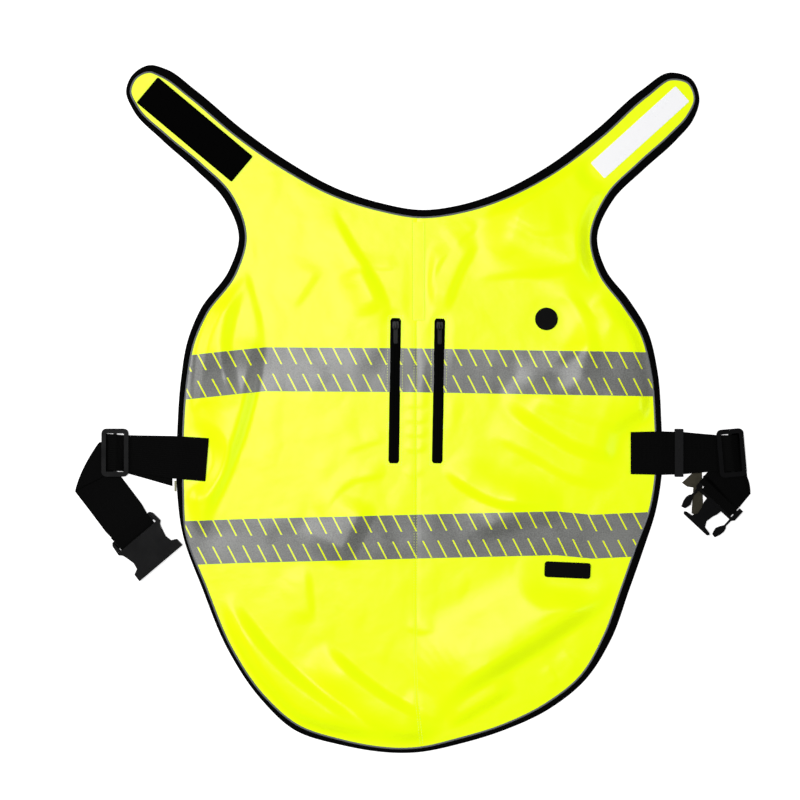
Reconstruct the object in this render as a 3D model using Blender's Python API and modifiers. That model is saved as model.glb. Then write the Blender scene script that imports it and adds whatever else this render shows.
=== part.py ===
"""Dog safety vest, laid flat on a table with its back up.

Row frame: +X to the wearer's right side as seen from above, +Y towards the neck, +Z up.
The origin is on the table, under the middle of the vest. Sizes below are in millimetres.
"""

import math

import bmesh
import bpy
from mathutils import Matrix, Vector

MM = 0.001

# Driving sizes
CLOTH = 1.2
GAP = 0.3
TAPE = 0.6
TAPE_WIDTH = 50.0
BINDING_HEIGHT = 2.4
PIPING_WIDTH = 2.2
PIPING_HEIGHT = 2.0
GRID = 18.0
OUTLINE_STEP = 16.0
WEBBING = 1.5
ZIP_WIDTH = 12.2
ZIP_CORNER = 1.7
ZIP_HEIGHT = 1.8

# The seam down the back, neck to hem. Columns: x, y.
SEAM = ((5.0, 400.0), (5.0, -292.0), (6.5, -332.0), (14.0, -400.0))

# The cut edge, anticlockwise from the middle of the neck. Columns: place, x, y, width of the binding there.
OUTLINE = (
    ("neck_middle", 11, 227, 7.5),
    ("neck_left", -37, 235, 7.5),
    ("neck_left_rise", -83, 250, 8),
    ("tab_left_root", -145, 284, 9),
    ("tab_left_inner", -193, 318, 9.5),
    ("tab_left_inner_end", -248, 364, 9.5),
    ("tab_left_tip", -281, 387.5, 9),
    ("tab_left_top", -300, 392, 7),
    ("tab_left_corner", -319, 381, 4.5),
    ("tab_left_end", -326.5, 362, 4),
    ("tab_left_outer_end", -318.5, 341, 5),
    ("tab_left_outer", -285.5, 306.5, 6.5),
    ("tab_left_outer_root", -247, 272.5, 8),
    ("armhole_left_top", -214, 238, 8.5),
    ("armhole_left", -198, 195, 7),
    ("armhole_left_low", -209, 158.5, 7.5),
    ("shoulder_left", -242, 113, 7.5),
    ("side_left_1", -256, 79, 6.5),
    ("side_left_2", -264, 33, 6),
    ("side_left_3", -268, -23, 5.5),
    ("side_left_4", -268.5, -92, 6),
    ("side_left_5", -263, -138, 3),
    ("side_left_6", -239, -206, 3.5),
    ("side_left_7", -210, -275, 3.5),
    ("hem_left_1", -172, -331.5, 4),
    ("hem_left_2", -135, -365.5, 5.5),
    ("hem_left_3", -83, -382.5, 4.5),
    ("hem_middle", 7, -391.1, 4),
    ("hem_right_1", 54, -381.5, 5),
    ("hem_right_2", 105.5, -365.5, 5),
    ("hem_right_3", 157, -341, 6),
    ("hem_right_4", 197, -308.5, 6),
    ("side_right_1", 226, -263, 8),
    ("side_right_2", 247, -206, 8),
    ("side_right_3", 263, -160.5, 8),
    ("side_right_4", 277.5, -115, 6),
    ("side_right_5", 283.5, -80, 6),
    ("side_right_6", 283.5, -12, 6),
    ("side_right_7", 279, 44.5, 6.5),
    ("side_right_8", 267.5, 90, 7.5),
    ("shoulder_right", 247, 124, 8.5),
    ("armhole_right_low", 220.5, 158.5, 7.5),
    ("armhole_right", 210.5, 195, 6.5),
    ("armhole_right_top", 228.5, 238, 8),
    ("tab_right_outer_root", 263, 272.5, 8.5),
    ("tab_right_outer", 300.5, 306.5, 8.5),
    ("tab_right_outer_end", 320, 330, 7),
    ("tab_right_end", 327, 354, 4.5),
    ("tab_right_corner", 318, 376, 5),
    ("tab_right_top", 294, 383.5, 7),
    ("tab_right_inner_end", 261.5, 364, 8.5),
    ("tab_right_inner", 209, 318, 9.5),
    ("tab_right_root", 147.5, 272.5, 9.5),
    ("neck_right_rise", 88.5, 243, 8),
    ("neck_right", 54, 232.5, 7.5),
)

# Soft folds of the cloth. Columns: place, points of its crest, width, height.
FOLDS = (
    ("shoulder_left", ((-195, 134), (-214, 84), (-201, 24)), 38, 4.5),
    ("side_left", ((-177, 73), (-185, 7), (-207, -60), (-232, -114)), 27, 4.0),
    ("neck_left", ((-60, 168), (-42, 130), (-33, 112)), 36, 3.5),
    ("neck_right", ((70, 182), (50, 150), (42, 118)), 36, 3.5),
    ("shoulder_right", ((170, 150), (196, 108), (205, 78)), 40, 3.5),
    ("flank_right", ((112, 6), (150, -22), (192, -54)), 44, 4.0),
    ("zip_right_foot", ((44, -80), (94, -110)), 36, 3.5),
    ("loin_left", ((-52, -120), (-80, -172)), 38, 3.5),
    ("loin_right", ((88, -138), (162, -124)), 38, 3.0),
    ("haunch_left", ((-198, -231), (-157, -286), (-82, -346)), 42, 5.5),
    ("tail_left", ((-84, -284), (-55, -311), (-10, -336)), 36, 4.0),
    ("haunch_right", ((214, -220), (130, -276), (52, -329)), 46, 6.5),
    ("tail_right", ((107, -322), (38, -364)), 36, 4.0),
)

# Edges of the reflective tape across the vest, left to right. Columns: x, y of its upper edge.
TAPE_UPPER = ((-300, 58), (-168, 70.3), (0, 69.2), (120, 67.0), (300, 64.0))
TAPE_LOWER = ((-300, -129.3), (-196, -125.5), (0, -120.5), (163, -116.5), (205, -120.5), (300, -116.0))

# Zips: side, x of its top, y of its top, x of its foot, y of its foot
ZIPS = (
    ("left", -19.1, 103.7, -21.4, -61.9),
    ("right", 31.2, 103.1, 28.1, -61.9),
)
SLIDER_BELOW_TOP = 8.0

BLACK = (0.012, 0.012, 0.013)
YELLOW = (0.83, 1.0, 0.01)
SILVER = (0.27, 0.27, 0.28)

vest = bpy.data.collections.new("dog_safety_vest")
helpers = bpy.data.collections.new("cutters")


def clear_scene():
    for thing in list(bpy.data.objects):
        bpy.data.objects.remove(thing)
    bpy.context.scene.collection.children.link(vest)
    bpy.context.scene.collection.children.link(helpers)


def material(name, colour, roughness, metallic=0.0):
    made = bpy.data.materials.new(name)
    made.use_nodes = True
    shader = made.node_tree.nodes["Principled BSDF"]
    shader.inputs["Base Color"].default_value = (*colour, 1.0)
    shader.inputs["Roughness"].default_value = roughness
    shader.inputs["Metallic"].default_value = metallic
    return made


def add_mesh(name, bm, look, where=vest):
    """The bmesh, drawn in millimetres, as an object in metres."""
    bmesh.ops.scale(bm, vec=(MM, MM, MM), verts=bm.verts)
    mesh = bpy.data.meshes.new(name)
    bm.to_mesh(mesh)
    bm.free()
    mesh.materials.append(look)
    thing = bpy.data.objects.new(name, mesh)
    where.objects.link(thing)
    return thing


def as_helper(thing):
    thing.hide_render = True
    thing.display_type = "WIRE"
    return thing


def boolean(thing, other, operation="DIFFERENCE"):
    step = thing.modifiers.new(operation.lower() + "_" + other.name, "BOOLEAN")
    step.operation = operation
    step.object = as_helper(other)


def block(name, low, high, look, where=vest):
    """A box between two corners."""
    bm = bmesh.new()
    bmesh.ops.create_cube(bm, size=1.0)
    size = [b - a for a, b in zip(low, high)]
    middle = [(a + b) / 2 for a, b in zip(low, high)]
    bmesh.ops.scale(bm, vec=size, verts=bm.verts)
    bmesh.ops.translate(bm, vec=middle, verts=bm.verts)
    return add_mesh(name, bm, look, where)


def plate(name, outlines, low, high, look, where=vest):
    """A flat outline, with its holes, as a plate between two heights."""
    curve = bpy.data.curves.new(name, "CURVE")
    curve.dimensions = "2D"
    curve.fill_mode = "BOTH"
    curve.extrude = (high - low) / 2 * MM
    for outline in outlines:
        spline = curve.splines.new("POLY")
        spline.points.add(len(outline) - 1)
        for point, (x, y) in zip(spline.points, outline):
            point.co = (x * MM, y * MM, 0, 1)
        spline.use_cyclic_u = True
    drawn = bpy.data.objects.new(name, curve)
    where.objects.link(drawn)
    graph = bpy.context.evaluated_depsgraph_get()
    mesh = bpy.data.meshes.new_from_object(drawn.evaluated_get(graph))
    bpy.data.objects.remove(drawn)
    bm = bmesh.new()
    bm.from_mesh(mesh)
    bpy.data.meshes.remove(mesh)
    bmesh.ops.remove_doubles(bm, verts=bm.verts, dist=0.01 * MM)
    bmesh.ops.scale(bm, vec=(1 / MM, 1 / MM, 1 / MM), verts=bm.verts)
    bmesh.ops.translate(bm, vec=(0, 0, (low + high) / 2), verts=bm.verts)
    bmesh.ops.recalc_face_normals(bm, faces=bm.faces)
    return add_mesh(name, bm, look, where)


def rounded(width, length, radius, steps=4):
    """A rectangle with round corners, about the origin."""
    points = []
    for quarter, (sx, sy) in enumerate(((1, 1), (-1, 1), (-1, -1), (1, -1))):
        for i in range(steps + 1):
            turn = math.pi / 2 * (quarter + i / steps)
            points.append(
                (
                    sx * (width / 2 - radius) + radius * math.cos(turn),
                    sy * (length / 2 - radius) + radius * math.sin(turn),
                )
            )
    return points


def disc(diameter, steps=28):
    return [
        (diameter / 2 * math.cos(math.tau * i / steps), diameter / 2 * math.sin(math.tau * i / steps))
        for i in range(steps)
    ]


def stand(thing, x, y, degrees):
    thing.location = (x * MM, y * MM, 0)
    thing.rotation_euler = (0, 0, math.radians(degrees))
    return thing


def anchor(name, x, y, degrees):
    """An empty that carries the parts of one fitting."""
    made = bpy.data.objects.new(name, None)
    vest.objects.link(made)
    return stand(made, x, y, degrees)


# The outline


def smooth_edge():
    """The outline as (point, binding width), on a smooth curve through its rows; and the number of each row's point."""
    rows = [Vector((x, y, width)) for _, x, y, width in OUTLINE]
    count = len(rows)
    spans = [(rows[(i + 1) % count] - rows[i]).xy.length for i in range(count)]
    slopes = []
    for i in range(count):
        before, after = spans[i - 1], spans[i]
        back = (rows[i] - rows[i - 1]) / before
        ahead = (rows[(i + 1) % count] - rows[i]) / after
        slopes.append((back * after + ahead * before) / (before + after))
    points, starts = [], []
    for i in range(count):
        starts.append(len(points))
        steps = max(1, round(spans[i] / OUTLINE_STEP))
        for k in range(steps):
            t = k / steps
            points.append(
                rows[i] * (2 * t**3 - 3 * t**2 + 1)
                + slopes[i] * spans[i] * (t**3 - 2 * t**2 + t)
                + rows[(i + 1) % count] * (3 * t**2 - 2 * t**3)
                + slopes[(i + 1) % count] * spans[i] * (t**3 - t**2)
            )
    return points, starts


EDGE, ROW_STARTS = smooth_edge()


def inwards(i):
    """The direction into the cloth at a point of the edge."""
    along = (EDGE[(i + 1) % len(EDGE)] - EDGE[i - 1]).xy.normalized()
    return Vector((-along.y, along.x))


def inset(i, more):
    """The edge's point i, moved in by the binding's width and more."""
    return EDGE[i].xy + inwards(i) * (EDGE[i].z + more)


# The cloth


def crest_distance(x, y, crest):
    here = Vector((x, y))
    best = math.inf
    for a, b in zip(crest, crest[1:]):
        a, b = Vector(a), Vector(b)
        share = max(0.0, min(1.0, (here - a).dot(b - a) / (b - a).length_squared))
        best = min(best, (here - a - share * (b - a)).length)
    return best


def lie(x, y):
    """How far the cloth is lifted off the table."""
    lift = 0.0
    for _, crest, width, height in FOLDS:
        near = crest_distance(x, y, crest) / (width / 2)
        if near < 1.0:
            lift += height * (0.5 + 0.5 * math.cos(math.pi * near))
    return lift


def tape_edge(rows, x):
    for (x0, y0), (x1, y1) in zip(rows, rows[1:]):
        if x <= x1:
            return y0 + (y1 - y0) * (x - x0) / (x1 - x0)
    return rows[-1][1]


def cut_faces(bm, faces, point, normal, snap=0.01):
    around = {item for face in faces for item in (*face.verts, *face.edges, face)}
    bmesh.ops.bisect_plane(bm, geom=list(around), dist=snap, plane_co=point, plane_no=normal)


def cut_along(bm, rows, drop):
    """Cuts the flat cloth along a line of the tape, which is drop below its upper edge."""
    for x, _ in rows[1:-1]:
        cut_faces(bm, list(bm.faces), (x, 0, 0), (1, 0, 0))
    for (x0, y0), (x1, y1) in zip(rows, rows[1:]):
        part = [f for f in bm.faces if x0 < f.calc_center_median().x < x1]
        cut_faces(bm, part, (x0, y0 - drop, 0), (y0 - y1, x1 - x0, 0))


def flat_cloth():
    """Both halves as one flat mesh, cut along the seam, the tape's edges and an even grid."""
    bm = bmesh.new()
    more = GAP + PIPING_WIDTH + GAP
    bm.faces.new([bm.verts.new((*inset(i, more), 0)) for i in range(len(EDGE))])
    for side in ("left", "right"):
        cut_faces(bm, list(bm.faces), (zip_frame(side)[0], 0, 0), (1, 0, 0))
    for _, y in SEAM[1:-1]:
        cut_faces(bm, list(bm.faces), (0, y, 0), (0, 1, 0))
    for (x0, y0), (x1, y1) in zip(SEAM, SEAM[1:]):
        for side in (-1, 1):
            part = [f for f in bm.faces if y1 < f.calc_center_median().y < y0]
            cut_faces(bm, part, (x0 + side * GAP / 2, y0, 0), (y0 - y1, x1 - x0, 0))
    for rows in (TAPE_UPPER, TAPE_LOWER):
        cut_along(bm, rows, 0)
        cut_along(bm, rows, TAPE_WIDTH)
    low = [min(v.co[k] for v in bm.verts) for k in (0, 1)]
    high = [max(v.co[k] for v in bm.verts) for k in (0, 1)]
    for axis, normal in ((0, (1, 0, 0)), (1, (0, 1, 0))):
        count = round((high[axis] - low[axis]) / GRID)
        for i in range(1, count):
            place = [0, 0, 0]
            place[axis] = low[axis] + (high[axis] - low[axis]) * i / count
            cut_faces(bm, list(bm.faces), place, normal, snap=GRID / 5)
    bmesh.ops.triangulate(bm, faces=bm.faces)
    return bm


def seam_x(y):
    for (x0, y0), (x1, y1) in zip(SEAM, SEAM[1:]):
        if y >= y1:
            return x0 + (x1 - x0) * (y0 - y) / (y0 - y1)
    return SEAM[-1][0]


def on_side(face, side):
    middle = face.calc_center_median()
    beyond = middle.x - seam_x(middle.y)
    return beyond < -GAP / 2 if side == "left" else beyond > GAP / 2


def beyond_zip(face, side):
    """True on the zip's outer side, where the upper tape is a piece of its own."""
    x = face.calc_center_median().x
    return x < zip_frame(side)[0] if side == "left" else x > zip_frame(side)[0]


def in_tape(face, rows):
    middle = face.calc_center_median()
    upper = tape_edge(rows, middle.x)
    return upper - TAPE_WIDTH < middle.y < upper


def laid(name, flat, keep, above, thick, look):
    """The chosen faces of the flat cloth as a wall that follows its folds, at a height above its underside."""
    bm = flat.copy()
    bmesh.ops.delete(bm, geom=[f for f in bm.faces if not keep(f)], context="FACES")
    for v in bm.verts:
        v.co.z = lie(v.co.x, v.co.y) + above
    grown = bmesh.ops.extrude_face_region(bm, geom=list(bm.faces))["geom"]
    raised = [v for v in grown if isinstance(v, bmesh.types.BMVert)]
    bmesh.ops.translate(bm, vec=(0, 0, thick), verts=raised)
    bmesh.ops.recalc_face_normals(bm, faces=bm.faces)
    return add_mesh(name, bm, look)


def zip_frame(side):
    for name, x0, y0, x1, y1 in ZIPS:
        if name == side:
            return (x0 + x1) / 2, (y0 + y1) / 2, math.hypot(x1 - x0, y1 - y0), math.atan2(x0 - x1, y0 - y1)


def zip_slot(side, look):
    """A cutter for the zip's slot in the cloth and in the tape."""
    x, y, length, lean = zip_frame(side)
    outline = rounded(ZIP_WIDTH + 2 * GAP, length + 2 * GAP, ZIP_CORNER + GAP)
    return stand(plate("zip_slot_" + side, [outline], -5, 15, look, helpers), x, y, -math.degrees(lean))


def cloth_and_tape():
    cloth = material("coated_polyester_yellow", YELLOW, 0.6)
    silver = material("reflective_tape", SILVER, 0.35)
    flat = flat_cloth()
    top = CLOTH + GAP
    for side in ("left", "right"):
        slot = zip_slot(side, cloth)
        panel = laid("panel_" + side, flat, lambda f: on_side(f, side), 0, CLOTH, cloth)
        lower = laid(
            "tape_lower_" + side, flat, lambda f: on_side(f, side) and in_tape(f, TAPE_LOWER), top, TAPE, silver
        )
        outer = laid(
            "tape_upper_" + side,
            flat,
            lambda f: on_side(f, side) and in_tape(f, TAPE_UPPER) and beyond_zip(f, side),
            top,
            TAPE,
            silver,
        )
        inner = laid(
            "tape_upper_middle_" + side,
            flat,
            lambda f: on_side(f, side) and in_tape(f, TAPE_UPPER) and not beyond_zip(f, side),
            top,
            TAPE,
            silver,
        )
        for thing in (panel, outer, inner):
            boolean(thing, slot)
    flat.free()
    placket_low, placket_high, placket_width = 100.5, 213.0, 13.9
    x = SEAM[0][0] + 2.0
    block(
        "neck_placket",
        (x - placket_width / 2, placket_low, top),
        (x + placket_width / 2, placket_high, top + 0.8),
        cloth,
    )


# Binding and piping


def loft(name, rings, look):
    """A bar through rings that have the same number of points."""
    bm = bmesh.new()
    made = [[bm.verts.new(p) for p in ring] for ring in rings]
    for a, b in zip(made, made[1:]):
        for i in range(len(a)):
            k = (i + 1) % len(a)
            bm.faces.new((a[i], a[k], b[k], b[i]))
    bm.faces.new(made[0])
    bm.faces.new(made[-1][::-1])
    bmesh.ops.recalc_face_normals(bm, faces=bm.faces)
    return add_mesh(name, bm, look)


def edge_strip(name, numbers, profile, start, width, look):
    """A strip along the edge. profile holds (share of its width, height); start and width are for one point."""
    rings = []
    for order, i in enumerate(numbers):
        i %= len(EDGE)
        inward = inwards(i)
        along = Vector((inward.y, -inward.x))
        end = (order == 0) - (order == len(numbers) - 1)
        base = EDGE[i].xy + along * end * GAP / 2
        rings.append([(*(base + inward * (start(i) + share * width(i))), height) for share, height in profile])
    return loft(name, rings, look)


def binding_and_piping():
    black = material("binding_tape", BLACK, 0.8)
    silver = material("reflective_piping", SILVER, 0.4)
    hem = ROW_STARTS[[row[0] for row in OUTLINE].index("hem_middle")]
    rolled = ((0, 0), (1, 0), (1, 1.7), (0.75, BINDING_HEIGHT), (0.25, BINDING_HEIGHT), (0, 1.2))
    cord = ((0, 0), (1, 0), (0.8, 1.6), (0.5, PIPING_HEIGHT), (0.2, 1.6))
    for side, numbers in (("left", range(hem + 1)), ("right", range(hem, len(EDGE) + 1))):
        edge_strip("binding_" + side, numbers, rolled, lambda i: 0, lambda i: EDGE[i].z, black)
        edge_strip("piping_" + side, numbers, cord, lambda i: EDGE[i].z + GAP, lambda i: PIPING_WIDTH, silver)


# Zips


def zips():
    black = material("zip_tape", BLACK, 0.7)
    metal = material("zip_slider", (0.02, 0.02, 0.02), 0.35)
    seat = ZIP_HEIGHT + GAP
    base_top, beam_low, beam_top, pin = seat + 1.2, seat + 3.4, seat + 4.2, seat + 2.25
    half_base, half_post, half_tunnel = 4.2, 3.4, 2.6
    for side, x0, y0, _, _ in ZIPS:
        x, y, length, lean = zip_frame(side)
        band = plate("zip_" + side, [rounded(ZIP_WIDTH, length, ZIP_CORNER)], 0, ZIP_HEIGHT, black)
        stand(band, x, y, -math.degrees(lean))
        sx, sy = x0 - math.sin(lean) * SLIDER_BELOW_TOP, y0 - math.cos(lean) * SLIDER_BELOW_TOP
        seat_at = anchor("slider_seat_" + side, sx, sy, 0)
        slider = plate("zip_slider_" + side, [rounded(7.4, 2 * half_base, 1.6, 3)], seat, base_top, metal)
        bridge = block("bridge_" + side, (-0.8, -half_post, base_top - 0.4), (0.8, half_post, beam_top), metal, helpers)
        tunnel = block("tunnel_" + side, (-3, -half_tunnel, base_top), (3, half_tunnel, beam_low), metal, helpers)
        for thing in (slider, bridge, tunnel):
            thing.parent = seat_at
        boolean(bridge, tunnel)
        boolean(slider, bridge, "UNION")
        length_pull, width_pull, thick_pull = 22.0, 5.0, 1.1
        outline = [(px, py - length_pull / 2 + thick_pull / 2) for px, py in rounded(width_pull, length_pull, 1.6, 3)]
        eye = [(-1.3, -5.4), (1.3, -5.4), (1.3, -thick_pull / 2), (-1.3, -thick_pull / 2)]
        pull = plate("zip_pull_" + side, [outline, eye], -thick_pull / 2, thick_pull / 2, metal)
        pull.location = (sx * MM, sy * MM, pin * MM)
        pull.rotation_euler = (math.radians(4.5), 0, 0)


# Patches


def patches():
    black = material("patch_black", BLACK, 0.9)
    pale = material("bright_film", (0.8, 0.8, 0.82), 0.3)
    top = CLOTH + GAP
    stand(plate("hook_patch", [rounded(141, 38, 1.0, 1)], top, top + 1.6, black), -248.2, 318.4, -39.9)
    stand(plate("bright_strip", [rounded(130.6, 23.6, 1.0, 1)], top, top + 0.8, pale), 259.2, 315.3, 42.2)
    stand(plate("badge", [disc(26)], top, top + 1.2, black), 152.6, 102.6, 0)
    stand(plate("label", [rounded(52.5, 18, 3.0)], top, top + 1.2, black), 176.6, -183.5, -2.5)
    block("side_tag", (-271.4, -93.9, 0), (-269.0, -81.7, 0.9), material("care_tag", (0.2, 0.2, 0.12), 0.8))


# Webbing


def level(rows, u, v):
    """The height of the webbing's middle, between slanting lines across it. Columns of rows: u, slant, height."""
    places = []
    for start, slant, _ in rows:
        places.append(max([start + slant * v] + places[-1:]))
    if u <= places[0]:
        return rows[0][2]
    for a, b, p, q in zip(rows, rows[1:], places, places[1:]):
        if u <= q:
            return a[2] + (b[2] - a[2]) * (u - p) / (q - p)
    return rows[-1][2]


def webbing(name, origin, heading, cut, runs, folds, look, start_slant=0.0, end_slant=0.0):
    """A band of webbing, drawn flat along u with v to its left, and then folded.

    cut: a row (u, half width, shift to the left) for each change of its outline.
    runs: rows for level(), one group for each stretch between folds.
    folds: (u, slant) of each line that it is folded on.
    """
    heading = Vector(heading).normalized()
    left_of = Vector((-heading.y, heading.x))
    slants = [start_slant] + [0.0] * (len(cut) - 2) + [end_slant]
    rims = []
    for side in (-1, 1):
        rim = [(u + slant * (shift + side * half), shift + side * half) for (u, half, shift), slant in zip(cut, slants)]
        rims.append(rim)
    bm = bmesh.new()
    bm.faces.new([bm.verts.new((u, v, 0)) for u, v in rims[0] + rims[1][::-1]])
    folds = [
        (Vector((u, 0)), Vector((1, -slant)).normalized(), runs[k][-1][2], runs[k + 1][0][2])
        for k, (u, slant) in enumerate(folds)
    ]
    lines = [(Vector((u, 0)), Vector((1, 0))) for u, _, _ in cut[1:-1]]
    lines += [(Vector((u, 0)), Vector((1, -slant)).normalized()) for run in runs for u, slant, _ in run]
    for point, normal, before, after in folds:
        arc = math.pi * abs(before - after) / 2
        lines += [(point + normal * arc * i / 6, normal) for i in range(7)]
    for point, normal in lines:
        cut_faces(bm, list(bm.faces), (*point, 0), (*normal, 0), snap=0.002)
    bmesh.ops.triangulate(bm, faces=bm.faces)

    def fold_up(u, v):
        beyond = [(Vector((u, v)) - point).dot(normal) for point, normal, _, _ in folds]
        run = sum(far > 0 for far in beyond)
        height = level(runs[run], u, v)
        at = Vector((u, v))
        for k in reversed(range(len(folds))):
            point, normal, before, after = folds[k]
            far = (at - point).dot(normal)
            if far <= 0:
                continue
            radius = abs(before - after) / 2
            turned = far / radius
            if turned < math.pi:
                at = at + normal * (radius * math.sin(turned) - far)
                if k == run - 1:
                    height = before + (after - before) * (1 - math.cos(turned)) / 2
            else:
                at = at - normal * (2 * far - math.pi * radius)
        return Vector((*(Vector(origin) + heading * at.x + left_of * at.y), height))

    for v in bm.verts:
        v.co = fold_up(v.co.x, v.co.y)
    bmesh.ops.recalc_face_normals(bm, faces=bm.faces)
    band = add_mesh(name, bm, look)
    wall = band.modifiers.new("wall", "SOLIDIFY")
    wall.thickness = WEBBING * MM
    wall.offset = 0
    wall.use_even_offset = True
    return band


def reflect(heading, line):
    """A heading turned over in a fold line, as a band's is where it is folded."""
    heading, line = Vector(heading).normalized(), Vector(line).normalized()
    return 2 * heading.dot(line) * line - heading


def slant_of(line, heading):
    """How far a line moves along a band for each millimetre across it."""
    heading, line = Vector(heading).normalized(), Vector(line)
    return line.dot(heading) / line.dot(Vector((-heading.y, heading.x)))


FLOOR = WEBBING / 2
OVER = FLOOR + WEBBING + GAP
ON_CLOTH = CLOTH + GAP + WEBBING / 2
ON_BINDING = BINDING_HEIGHT + GAP + WEBBING / 2
GLIDE_LOW = OVER + WEBBING / 2 + GAP
GLIDE_BAR = GLIDE_LOW + 1.4
OVER_BAR = GLIDE_BAR + GAP + WEBBING / 2


def glide(side, x, y, degrees, look):
    """A slide adjuster: a frame with a lower bar across its middle."""
    frame = plate(
        "glide_" + side, [rounded(30.8, 54.7, 5.5), rounded(20.6, 43.6, 1.2, 2)], GLIDE_LOW, GLIDE_LOW + 3.0, look
    )
    bar = block("glide_bar_" + side, (-2, -23, GLIDE_LOW), (2, 23, GLIDE_BAR), look, helpers)
    for thing in (stand(frame, x, y, degrees), stand(bar, x, y, degrees)):
        thing.rotation_euler.z = math.radians(degrees)
    boolean(frame, bar, "UNION")


def through_glide(u, slant):
    """The heights of webbing that goes under a glide's outer bars and over its middle one, at u."""
    return ((u - 10.0, slant, OVER), (u - 2.2, slant, OVER_BAR), (u + 2.2, slant, OVER_BAR), (u + 10.0, slant, OVER))


def fold_start(slant):
    """Where a belt begins to turn over, so that the outside of its fold lies on a slanting line through u = 0."""
    return -((OVER - FLOOR) / 2 + WEBBING / 2) * math.hypot(1, slant)


def left_belt(look, plastic):
    heading = (-0.9968, 0.0793)
    upright = slant_of((0, 1), heading)
    glide_u = 105.0
    sewn = ((0, 0, ON_CLOTH), (20, 0, ON_CLOTH), (26, 0, ON_BINDING), (37, 0, ON_BINDING), (52, 0, OVER))
    webbing(
        "strap_left",
        (-233.9, -57.9),
        heading,
        ((0, 24.8, 0), (40, 24.2, 0), (94, 20.7, 0), (117.6, 20.7, 0)),
        (sewn + through_glide(glide_u, upright),),
        (),
        look,
        end_slant=upright,
    )
    webbing(
        "strap_left_tail",
        (-325.5, -52.4),
        (0.983, -0.182),
        ((0, 20.5, 0), (52.8, 25.6, 0)),
        (((0, 0, FLOOR), (52.8, 0, FLOOR)),),
        (),
        look,
        start_slant=slant_of((0, 1), (0.983, -0.182)),
        end_slant=slant_of((0, 1), (0.983, -0.182)),
    )
    lower, fold_line = (0.61, -0.792), (-0.4446, -0.896)
    first = reflect(lower, fold_line)
    bar_fold, bar_over, skew = 92.7, 5.35, 0.045
    slant = slant_of(fold_line, first)
    webbing(
        "strap_left_end",
        (-371.9, -68.3),
        first,
        ((-19.8, 20, -11.9), (-4, 21.3, -4.7), (13, 26, 0), (70, 26, 0), (82, 24.4, 0), (bar_fold + 23, 24.4, 0)),
        (
            ((-19.8, 0, OVER),),
            ((40, 0, FLOOR), (80, 0, bar_over)),
            ((bar_fold + 14, 0, FLOOR),),
        ),
        ((fold_start(slant), slant), (bar_fold, skew)),
        look,
    )
    glide("left", -338.6, -49.6, 0, plastic)


def right_belt(look, plastic):
    tilt = 5.0
    lean = -math.tan(math.radians(tilt))
    glide_u = 114.6
    sewn = ((0, 0, ON_CLOTH), (20, 0, ON_CLOTH), (25, 0, ON_BINDING), (38, 0, ON_BINDING), (53, 0, OVER))
    lower, fold_line = (-0.681, -0.732), (0.132, -0.991)
    webbing(
        "strap_right",
        (248.5, -50.2),
        (1, 0),
        ((0, 24, 0), (36, 24.8, 0), (60, 24.0, 0), (99, 20.5, 0), (125.6, 20.5, 0)),
        (sewn + through_glide(glide_u, lean),),
        (),
        look,
        end_slant=slant_of(fold_line, (1, 0)),
    )
    first = reflect(lower, fold_line)
    slant = slant_of(fold_line, first)
    bar_fold, bar_over, bar_under, floor = 47.5, 5.95, 1.85, FLOOR + 0.12
    webbing(
        "strap_right_end",
        (380.6, -69.9),
        first,
        ((-4.2, 22.1, 1.6), (14, 24.5, 3.5), (24, 26.6, 4.4), (35.0, 26.6, 4.0), (45.2, 26.4, 4.2), (45.8, 22.2, 0), (bar_fold + 14, 22.2, 0)),
        (
            ((-4.2, slant, OVER),),
            ((2.0, slant, floor), (10.4, 0.93, floor), (39.8, 0, bar_over)),
            ((bar_fold + 12, 0, bar_under),),
        ),
        ((fold_start(slant), slant), (bar_fold, 0)),
        look,
        start_slant=slant,
    )
    tail = ((320, -72), (307, -84), (313, -88.5), (320, -89.5), (318, -118.5), (326, -124), (331.5, -116), (330, -72))
    plate("strap_right_tail", [tail], 0, 0.8, material("webbing_underside", (0.05, 0.05, 0.04), 0.9))
    glide("right", 363.1, -50.0, tilt, plastic)
    ring = plate(
        "keeper", [rounded(5.2, 54.8, 1.2, 3), rounded(2.6, 51.0, 0.6, 2)], -4.9, 4.9, material("elastic", BLACK, 0.9)
    )
    ring.location = (303.4 * MM, -49.9 * MM, 2.85 * MM)
    ring.rotation_euler = (0, math.radians(90), 0)


# Buckle

SOCKET_OUTLINE = (
    (32, 0), (31.4, -9.7), (25.1, -12.5), (23.7, -20), (25.6, -28), (27, -33), (28.2, -35.2), (31, -37.6),
    (29.8, -50), (27.2, -53.5),
)  # half of it: across, forward from the mouth
PLUG_PRONG = (
    (24.2, -1), (26.8, -1), (26.6, 8.6), (28.4, 10.8), (29.2, 15), (28.4, 20.2), (25.8, 26.6), (21.4, 25.5),
    (20.2, 21.7), (19.4, 18), (21.7, 13), (24.4, 8.9),
)  # the right-hand one: across, forward from the front of the base
PLUG_GUIDE = (
    (11, -1), (10.2, 5.6), (8.1, 11), (6.6, 19.4), (10, 25.6), (18, 26.9), (19.8, 28.6), (18, 31), (0, 31.2),
)  # its right half
PLUG_BASE = (
    (24.0, -17.0), (24.0, -12.2), (29.4, -11.6), (29.4, -3), (27.0, 0), (-27.0, 0), (-29.4, -3), (-29.4, -17.0),
)  # the rail at +x is short and low, under the belt


def mirrored(half):
    return list(half) + [(-x, y) for x, y in reversed(half) if x > 0]


def cutter(carrier, target, name, low, high, look):
    made = block(name, low, high, look, helpers)
    made.parent = carrier
    boolean(target, made)


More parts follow.
